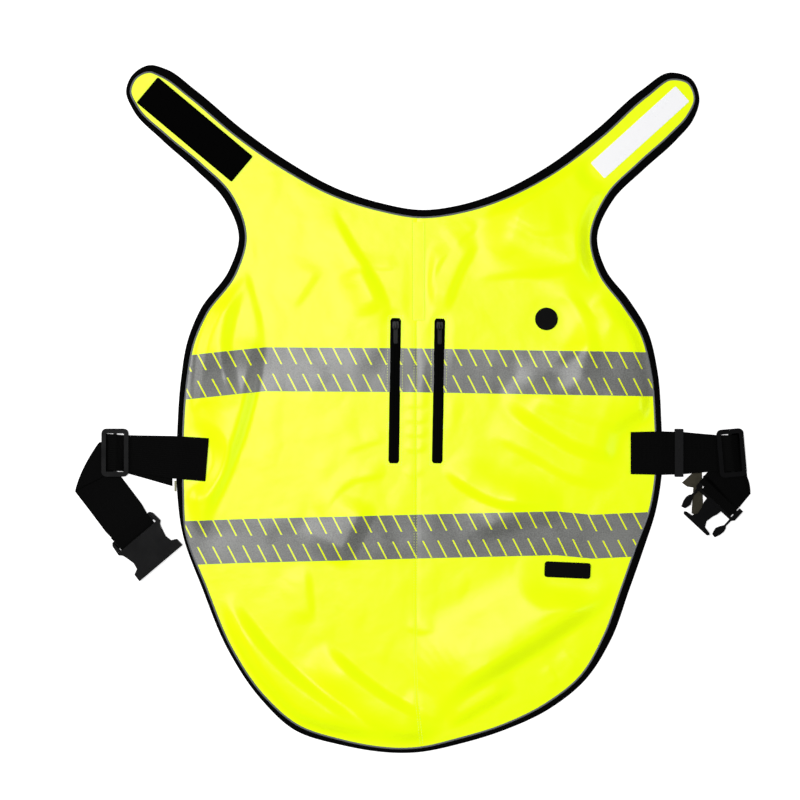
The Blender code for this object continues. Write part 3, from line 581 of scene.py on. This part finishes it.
def edge_sweep(name, side, profile, start, width):
    """A strip along one half of the edge. Its profile's points are a share of its width and a height in mm."""
    hem = ROW_STARTS[HEM_ROW]
    numbers = range(hem + 1) if side == "left" else range(hem, len(EDGE) + 1)
    bm = bmesh.new()
    uv = bm.loops.layers.uv.new("strip")
    rails, far, gone = [], 0.0, {}
    for order, i in enumerate(numbers):
        here = EDGE[i % len(EDGE)]
        if order:
            far += (here.xy - EDGE[(i - 1) % len(EDGE)].xy).length
        rails.append((here.xy, inwards(i % len(EDGE)), start(here), width(here), far))

    def place(rail, share, height):
        middle, inward, begin, wide, _ = rail
        return Vector((*((middle + inward * (begin + share * wide)) * MM), height * MM))

    ring = [bm.verts.new(place(rail, *profile[0])) for rail in rails]
    edges = [bm.edges.new(pair) for pair in zip(ring, ring[1:])]
    first = list(edges)
    across = 0.0
    for vert, rail in zip(ring, rails):
        gone[vert] = (rail[4] * MM, across)
    for step, (share, height) in enumerate(profile[1:]):
        grown = bmesh.ops.extrude_edge_only(bm, edges=edges)["geom"]
        edges = [item for item in grown if isinstance(item, bmesh.types.BMEdge) and item.is_boundary]
        verts = [item for item in grown if isinstance(item, bmesh.types.BMVert)]
        new = set(verts)
        edges = [edge for edge in edges if edge.verts[0] in new and edge.verts[1] in new]
        old = profile[step]
        across += math.hypot((share - old[0]) * 7, height - old[1]) * MM
        for vert, rail in zip(verts, rails):
            vert.co = place(rail, share, height)
            gone[vert] = (rail[4] * MM, across)
    bmesh.ops.bridge_loops(bm, edges=first + edges)
    bmesh.ops.holes_fill(bm, edges=[edge for edge in bm.edges if edge.is_boundary])
    bmesh.ops.recalc_face_normals(bm, faces=bm.faces)
    for face in bm.faces:
        for corner in face.loops:
            corner[uv].uv = gone[corner.vert]
    return bm


# Woven polyester binding, dyed black: fine ribs run across it, and a row of lock stitches near its inner
# edge pulls small dimples into it.
binding_black, shader = new_finish(
    "woven_binding", {"Base Color": linear("#040404"), "Roughness": 0.7, "Specular IOR Level": 0.02}
)
strip = add_node(binding_black, "ShaderNodeUVMap", uv_map="strip")
ribs = add_node(
    binding_black,
    "ShaderNodeTexWave",
    {"Vector": strip.outputs["UV"], "Scale": 2 * math.pi / (1.1 * MM) / 20, "Distortion": 0.3},
    bands_direction="X",
)
puckers = add_node(
    binding_black,
    "ShaderNodeTexWave",
    {"Vector": strip.outputs["UV"], "Scale": 2 * math.pi / (5.0 * MM) / 20, "Distortion": 1.5, "Detail": 2.0},
    bands_direction="X",
)
uneven = add_node(
    binding_black,
    "ShaderNodeMath",
    {0: puckers.outputs["Fac"], 1: 2.0, 2: ribs.outputs["Fac"]},
    operation="MULTIPLY_ADD",
)
bump = add_node(
    binding_black, "ShaderNodeBump", {"Height": uneven.outputs["Value"], "Strength": 0.5, "Distance": 0.12 * MM}
)
binding_black.node_tree.links.new(bump.outputs["Normal"], shader.inputs["Normal"])

piping_grey, shader = new_finish(
    "reflective_piping", {"Base Color": linear("#6F7276"), "Roughness": 0.4, "Specular IOR Level": 0.4}
)
strip = add_node(piping_grey, "ShaderNodeUVMap", uv_map="strip")
glints = add_node(piping_grey, "ShaderNodeTexNoise", {"Vector": strip.outputs["UV"], "Scale": 600.0, "Detail": 2.0})
bump = add_node(piping_grey, "ShaderNodeBump", {"Height": glints.outputs["Fac"], "Strength": 0.4, "Distance": 0.1 * MM})
piping_grey.node_tree.links.new(bump.outputs["Normal"], shader.inputs["Normal"])

ROLLED = (
    (0.04, 0.0), (0.0, 0.5), (0.0, 1.3), (0.06, 1.9), (0.2, 2.3), (0.5, 2.4), (0.8, 2.3), (0.94, 2.0), (1.0, 1.5),
    (1.0, 0.0),
)
CORDED = ((-0.1, 0.0), (0.0, 1.1), (0.2, 1.7), (0.5, 2.0), (0.8, 1.7), (1.0, 1.1), (1.05, 0.0))
for side in ("left", "right"):
    bm = edge_sweep("binding", side, ROLLED, lambda row: 0.0, lambda row: row.z)
    finished("edge_binding_" + side, bm, binding_black, "vest", ["binding_" + side])
    bm = edge_sweep("piping", side, CORDED, lambda row: row.z + 0.1, lambda row: PIPING)
    finished("edge_piping_" + side, bm, piping_grey, "vest", ["piping_" + side])

# Neck placket and stitching
# A folded strip of the same cloth, sewn over the top of the back seam to stiffen it. Below it the seam
# runs on between two rows of fine yellow lock stitches, and each zip is sewn in with a frame of them.
THREAD_WIDE, STITCH_LONG, STITCH_PITCH = 0.5 * MM, 2.3 * MM, 3.1 * MM


def rounded_copy(node, width, segments=2, sink=0.0):
    """A CAD node's own shape, merged, with its hard edges rounded; its foot may be sunk onto the cloth."""
    bm = bmesh.new()
    bm.from_mesh(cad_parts[node].data)
    bmesh.ops.remove_doubles(bm, verts=bm.verts, dist=0.001 * MM)
    bmesh.ops.dissolve_limit(bm, angle_limit=math.radians(2), verts=bm.verts, edges=bm.edges)
    lowest = min(v.co.z for v in bm.verts)
    for v in bm.verts:
        if v.co.z < lowest + 0.01 * MM:
            v.co.z -= sink
    hard = [edge for edge in bm.edges if edge.is_manifold and edge.calc_face_angle() > math.radians(28)]
    bmesh.ops.bevel(
        bm,
        geom=hard,
        offset=width,
        affect="EDGES",
        segments=segments,
        profile=0.5,
        material=-1,
        clamp_overlap=True,
    )
    bmesh.ops.recalc_face_normals(bm, faces=bm.faces)
    return bm


def along_path(points, step):
    """Places and headings at even steps along a path of flat points."""
    points = [Vector(point) for point in points]
    found, carry = [], step / 2
    for a, b in zip(points, points[1:]):
        length = (b - a).length
        while carry < length:
            found.append((a + (b - a) * (carry / length), (b - a).normalized()))
            carry += step
        carry -= length
    return found


def stitched(name, paths, height, material):
    """Lock stitches along flat paths, each a short oval that dips into the cloth at both ends."""
    bm = bmesh.new()
    for path in paths:
        for place, heading in along_path(path, STITCH_PITCH):
            made = bmesh.ops.create_icosphere(bm, subdivisions=1, radius=1.0)["verts"]
            turn = Matrix.Rotation(math.atan2(heading.y, heading.x), 4, "Z")
            size = Matrix.Diagonal((STITCH_LONG / 2, THREAD_WIDE / 2, THREAD_WIDE / 2, 1))
            top = height(place.x, place.y)
            bmesh.ops.transform(bm, matrix=Matrix.Translation((place.x, place.y, top)) @ turn @ size, verts=made)
    mesh = bpy.data.meshes.new(name)
    bm.to_mesh(mesh)
    bm.free()
    mesh.shade_smooth()
    mesh.materials.append(material)
    piece = bpy.data.objects.new(name, mesh)
    bpy.context.scene.collection.objects.link(piece)
    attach(piece, "vest")
    return piece


def on_cloth(x, y):
    """The height of the cloth's face."""
    return float(lie([(x, y)])[0]) + CLOTH


def on_tape(x, y):
    """The height of the face of the tape, or of the cloth where there is none."""
    bands = [tape_top(band, x) for band in TAPE_EDGES]
    over = any(top - TAPE_WIDTH < y < top for top in bands)
    return on_cloth(x, y) + (TAPE_THICK if over else 0.0)


bm = rounded_copy("neck_placket", 0.3 * MM, sink=0.28 * MM)
finished("placket", bm, cloth, "vest", ["neck_placket"], True)

# Polyester sewing thread in the cloth's own fluorescent yellow: like the cloth it glows a little, and each stitch has a
# slight sheen.
yellow_thread, shader = new_finish(
    "yellow_thread",
    {"Base Color": linear("#EDFF7A"), "Roughness": 0.45, "Emission Color": linear("#E6FF60"), "Emission Strength": 0.1},
)
place = add_node(yellow_thread, "ShaderNodeTexCoord")
ply = add_node(yellow_thread, "ShaderNodeTexNoise", {"Vector": place.outputs["Object"], "Scale": 900.0})
bump = add_node(
    yellow_thread, "ShaderNodeBump", {"Height": ply.outputs["Fac"], "Strength": 0.3, "Distance": 0.05 * MM}
)
yellow_thread.node_tree.links.new(bump.outputs["Normal"], shader.inputs["Normal"])

seam_rows = [
    [((seam_x(y * MM) + offset * MM), y * MM) for y in range(98, -386, -6)] for offset in (-3.2, -0.2)
]
frames = []
FRAME_OUT = ZIP_HALF / MM + 2.6
for (x0, y0), (x1, y1) in ZIPS.values():
    low, high = y1 - 2.6, y0 + 2.6
    corners = ((x1 - FRAME_OUT, low), (x0 - FRAME_OUT, high), (x0 + FRAME_OUT, high), (x1 + FRAME_OUT, low))
    frames.append([(x * MM, y * MM) for x, y in (*corners, corners[0])])
stitched("seam_stitches", seam_rows, on_tape, yellow_thread)
stitched("zip_stitches", frames, on_tape, yellow_thread)
placket_rows = [[(x * MM, 212 * MM), (x * MM, 102 * MM)] for x in (1.4, 12.6)]
placket_rows.append([(1 * MM, 102 * MM), (13 * MM, 102 * MM)])

# Painted shadow: the narrow shade that the placket's folded edge throws on the cloth, drawn as a row of stitches in the
# cloth's darker, olive tone.
placket_shadow_finish, shader = new_finish(
    "painted_placket_shadow", {"Base Color": linear("#9DA800"), "Roughness": 0.7, "Specular IOR Level": 0.1}
)
stitched("placket_painted_shadow", [[(-0.25 * MM, 216 * MM), (-0.25 * MM, 101 * MM)]], on_cloth, placket_shadow_finish)
PLACKET_FACE = CLOTH + 1.05 * MM
stitched("placket_stitches", placket_rows, lambda x, y: PLACKET_FACE, yellow_thread)

# Zips
# Two black coil zips set into slots beside the seam for a harness to reach through. The coil is on the
# back, so the front shows two woven tapes that meet over it, with a small painted slider at the top.
ZIP_TOP = 1.9 * MM
zip_black, shader = new_finish(
    "woven_zip_tape", {"Base Color": linear("#030303"), "Roughness": 0.65, "Specular IOR Level": 0.02}
)
strip = add_node(zip_black, "ShaderNodeUVMap", uv_map="strip")
ribs = add_node(
    zip_black,
    "ShaderNodeTexWave",
    {"Vector": strip.outputs["UV"], "Scale": 2 * math.pi / (1.2 * MM) / 20},
    bands_direction="Y",
)
bump = add_node(zip_black, "ShaderNodeBump", {"Height": ribs.outputs["Fac"], "Strength": 0.5, "Distance": 0.12 * MM})
zip_black.node_tree.links.new(bump.outputs["Normal"], shader.inputs["Normal"])


def zip_front(side):
    """The zip's face as a shallow double wave with rounded corners, closed down to the table."""
    (x0, y0), (x1, y1) = ZIPS[side]
    foot, head = Vector((x1, y1)) * MM, Vector((x0, y0)) * MM
    length = (head - foot).length
    bm = bmesh.new()
    bmesh.ops.create_grid(bm, x_segments=14, y_segments=60, size=1.0)
    uv = bm.loops.layers.uv.new("strip")
    corner = 1.7 * MM
    turn = Matrix.Rotation(math.atan2(head.y - foot.y, head.x - foot.x) - math.pi / 2, 2)
    for v in bm.verts:
        across, y = v.co.x, v.co.y * length / 2
        inside = min(corner, length / 2 - abs(y))
        half = ZIP_HALF - corner + math.sqrt(max(0.0, corner**2 - (corner - inside) ** 2))
        x = across * half
        meeting = 0.35 * MM * math.exp(-((x / (0.35 * MM)) ** 2))
        coil = 0.22 * MM * math.exp(-((x / (2.0 * MM)) ** 4))
        rim = 0.5 * MM * max(0.0, abs(across) - 0.86) / 0.14
        v.co = (*((head + foot) / 2 + turn @ Vector((x, y))), ZIP_TOP + coil - meeting - rim)
    for face in bm.faces:
        for loop in face.loops:
            loop[uv].uv = loop.vert.co.xy
    grown = bmesh.ops.extrude_face_region(bm, geom=list(bm.faces))["geom"]
    for v in grown:
        if isinstance(v, bmesh.types.BMVert):
            v.co.z = 0.0
    bmesh.ops.recalc_face_normals(bm, faces=bm.faces)
    return bm


# Zinc casting with a thin black paint: smooth, with a low gloss that brightens where a hand rubs it.
painted_zinc, shader = new_finish(
    "painted_zinc_slider", {"Base Color": linear("#030303"), "Roughness": 0.32, "Specular IOR Level": 0.12}
)
place = add_node(painted_zinc, "ShaderNodeTexCoord")
orange_peel = add_node(painted_zinc, "ShaderNodeTexNoise", {"Vector": place.outputs["Object"], "Scale": 1400.0})
bump = add_node(
    painted_zinc, "ShaderNodeBump", {"Height": orange_peel.outputs["Fac"], "Strength": 0.2, "Distance": 0.03 * MM}
)
painted_zinc.node_tree.links.new(bump.outputs["Normal"], shader.inputs["Normal"])

for side in ("left", "right"):
    finished("zip_face_" + side, zip_front(side), zip_black, "vest", ["zip_" + side])
    bm = rounded_copy("zip_slider_" + side, 0.25 * MM)
    finished("slider_" + side, bm, painted_zinc, "vest", ["zip_slider_" + side], True)
    bm = rounded_copy("zip_pull_" + side, 0.22 * MM)
    finished("pull_tab_" + side, bm, painted_zinc, "pull_" + side, ["zip_pull_" + side], True)

# Sewn-on patches
# Hook tape closes the neck tabs over each other, and a strip of reflective film on the right tab is painted
# near-white with a slight glow, a painted highlight. A round rubber badge and a small woven label sit on the
# right, both bare here, and a care tag peeps out of the left seam.
def patch_finish(name, colour, roughness, gloss, cell, depth, texture="ShaderNodeTexVoronoi"):
    """A finish whose surface is made of small raised cells of that real size."""
    material, shader = new_finish(
        name, {"Base Color": linear(colour), "Roughness": roughness, "Specular IOR Level": gloss}
    )
    place = add_node(material, "ShaderNodeTexCoord")
    cells = add_node(material, texture, {"Vector": place.outputs["Object"], "Scale": 1 / cell})
    relief = cells.outputs["Distance"] if "Distance" in cells.outputs else cells.outputs["Fac"]
    bump = add_node(material, "ShaderNodeBump", {"Height": relief, "Strength": 0.8, "Distance": depth})
    material.node_tree.links.new(bump.outputs["Normal"], shader.inputs["Normal"])
    return material, shader


hook_black, shader = patch_finish("nylon_hooks", "#020202", 0.8, 0.02, 1.7 * MM, 0.6 * MM)
film_painted_bright, shader = patch_finish("reflective_film_painted_highlight", "#F4F4F6", 0.6, 0.3, 1.4 * MM, 0.25 * MM, "ShaderNodeTexNoise")
# Painted highlight: the film is drawn near-white and glows a little, for the light it throws back.
for socket, value in {"Emission Color": linear("#FFFFFF"), "Emission Strength": 0.12}.items():
    shader.inputs[socket].default_value = value
rubber_black, shader = patch_finish("moulded_rubber", "#050505", 0.55, 0.05, 0.6 * MM, 0.03 * MM)
woven_label, shader = patch_finish("woven_label", "#040404", 0.6, 0.04, 0.7 * MM, 0.06 * MM)
tag_olive, shader = patch_finish("printed_care_tag", "#8C8B70", 0.7, 0.2, 0.8 * MM, 0.04 * MM)

for name, node, width, material, slot in (
    ("hook_tape", "hook_patch", 0.5 * MM, hook_black, "black_trim"),
    ("reflective_strip_painted_highlight", "bright_strip", 0.3 * MM, film_painted_bright, "bright_film"),
    ("round_badge", "badge", 0.5 * MM, rubber_black, "black_trim"),
    ("name_label", "label", 0.4 * MM, woven_label, "black_trim"),
):
    finished(name, rounded_copy(node, width, sink=0.28 * MM), material, "vest", [node], True)
finished("care_tag_end", rounded_copy("side_tag", 0.15 * MM), tag_olive, "vest", ["side_tag"], True)

# Belt
# Black polypropylene webbing, 50 mm wide and 1.5 mm thick, sewn to each flank. It runs through a slide
# adjuster, folds over and ends round the bar of its half of the buckle; its tails show beneath it.
def webbing_finish(name, degrees, colour="#030303"):
    """Woven polypropylene: flat ribs run along the belt and finer picks across it, with a dry, low sheen."""
    material, shader = new_finish(
        name, {"Base Color": linear(colour), "Roughness": 0.6, "Specular IOR Level": 0.03}
    )
    place = add_node(material, "ShaderNodeTexCoord")
    turned = add_node(
        material,
        "ShaderNodeMapping",
        {"Vector": place.outputs["Object"], "Rotation": (0, 0, math.radians(-degrees))},
        vector_type="POINT",
    )
    warp = add_node(
        material,
        "ShaderNodeTexWave",
        {"Vector": turned.outputs["Vector"], "Scale": 2 * math.pi / (2.4 * MM) / 20},
        bands_direction="Y",
    )
    weft = add_node(
        material,
        "ShaderNodeTexWave",
        {"Vector": turned.outputs["Vector"], "Scale": 2 * math.pi / (1.5 * MM) / 20, "Distortion": 0.5},
        bands_direction="X",
    )
    both = add_node(
        material,
        "ShaderNodeMath",
        {0: warp.outputs["Fac"], 1: 1.2, 2: weft.outputs["Fac"]},
        operation="MULTIPLY_ADD",
    )
    bump = add_node(
        material, "ShaderNodeBump", {"Height": both.outputs["Value"], "Strength": 0.6, "Distance": 0.16 * MM}
    )
    material.node_tree.links.new(bump.outputs["Normal"], shader.inputs["Normal"])
    return material


# Where each belt turns round the bar of its buckle half, it fills the slot. Columns: a point of the buckle
# half, the way it points, the slot's start and where the belt's turn reaches to, in mm from that point.
BUCKLE_SLOTS = {
    "strap_left_end": (((-286.1, -175.3), (0.6455, -0.7638), -42.6, -40.3),),
    "strap_right_end": (((343.0, -109.0), (-0.6807, -0.7325), -6.0, -3.45),),
}
# Where a belt is folded over, the turn isn't pressed flat but rolls outwards. Columns in picture points: the
# two ends of the turn; how far it rolls out, in mm.
BELT_TURNS = {
    "strap_left_end": (((98, 441), (76, 491), 3.4),),
    "strap_right_end": (((744, 478), (749, 498), 1.6),),
}
TURN_DEEP, TURN_CELL = 12 * MM, 7 * MM
for name, node, degrees in (
    ("belt_left", "strap_left", 175.5),
    ("belt_left_fold", "strap_left_end", -52.4),
    ("belt_left_tail", "strap_left_tail", -10.5),
    ("belt_right", "strap_right", 0.0),
    ("belt_right_fold", "strap_right_end", 47.1),
):
    webbing = webbing_finish("polypropylene_" + name, degrees)
    bm = rounded_copy(node, 0.35 * MM, 2)
    for seat, forward, wall, front in BUCKLE_SLOTS.get(node, ()):
        for v in bm.verts:
            ahead = (v.co.xy / MM - Vector(seat)).dot(Vector(forward))
            if ahead > wall:
                v.co.xy += Vector(forward) * (front - ahead) * MM
    for top, foot, roll in BELT_TURNS.get(node, ()):
        bmesh.ops.triangulate(bm, faces=[face for face in bm.faces if len(face.verts) > 4])
        for _ in range(4):
            long = [edge for edge in bm.edges if edge.calc_length() > TURN_CELL]
            bmesh.ops.subdivide_edges(bm, edges=long, cuts=1)
        top, foot = Vector(seen(*top)), Vector(seen(*foot))
        line = (foot - top).normalized()
        out = Vector((line.y, -line.x))
        if out.dot(top) < 0:
            out = -out
        for v in bm.verts:
            share = (v.co.xy - top).dot(line) / (foot - top).length
            inside = -(v.co.xy - top).dot(out)
            if 0 < share < 1 and inside < TURN_DEEP:
                fade = 1 - max(0, inside) / TURN_DEEP
                v.co.xy += out * roll * MM * math.sin(math.pi * share) ** 0.7 * fade
    finished(name, bm, webbing, "vest", [node], True)
# Painted light: the right tail is the same black webbing, drawn in a lighter olive grey for the light that falls on it
# where it shows beneath the belt.
lit_tail_finish = webbing_finish("polypropylene_tail_painted_light", 0.0, "#3C392F")
bm = rounded_copy("strap_right_tail", 0.2 * MM, 1)
finished("belt_right_tail", bm, lit_tail_finish, "vest", ["strap_right_tail"], True)

elastic, shader = patch_finish("knitted_elastic", "#161617", 0.7, 0.08, 0.9 * MM, 0.12 * MM)
finished("belt_keeper", rounded_copy("keeper", 0.3 * MM), elastic, "vest", ["keeper"], True)

# Adjusters and buckle
# Injection-moulded black acetal. The mould was spark-eroded, so flat faces are finely matt while the
# rounded edges take a soft highlight.
acetal, shader = new_finish(
    "moulded_acetal", {"Base Color": linear("#060607"), "Roughness": 0.38, "Specular IOR Level": 0.045}
)
place = add_node(acetal, "ShaderNodeTexCoord")
spark = add_node(acetal, "ShaderNodeTexNoise", {"Vector": place.outputs["Object"], "Scale": 1500.0, "Detail": 2.0})
flow = add_node(acetal, "ShaderNodeTexNoise", {"Vector": place.outputs["Object"], "Scale": 60.0})
mottle = add_node(acetal, "ShaderNodeMapRange", {"Value": flow.outputs["Fac"], "To Min": 0.3, "To Max": 0.46})
acetal.node_tree.links.new(mottle.outputs["Result"], shader.inputs["Roughness"])
bump = add_node(acetal, "ShaderNodeBump", {"Height": spark.outputs["Fac"], "Strength": 0.35, "Distance": 0.06 * MM})
acetal.node_tree.links.new(bump.outputs["Normal"], shader.inputs["Normal"])
for name, node, width in (
    ("adjuster_left", "glide_left", 0.9 * MM),
    ("adjuster_right", "glide_right", 0.9 * MM),
    ("buckle_female", "buckle_socket", 0.7 * MM),
    ("buckle_male", "buckle_plug", 0.5 * MM),
):
    finished(name, rounded_copy(node, width, 3), acetal, "vest", [node], True)

cloth_plan.free()
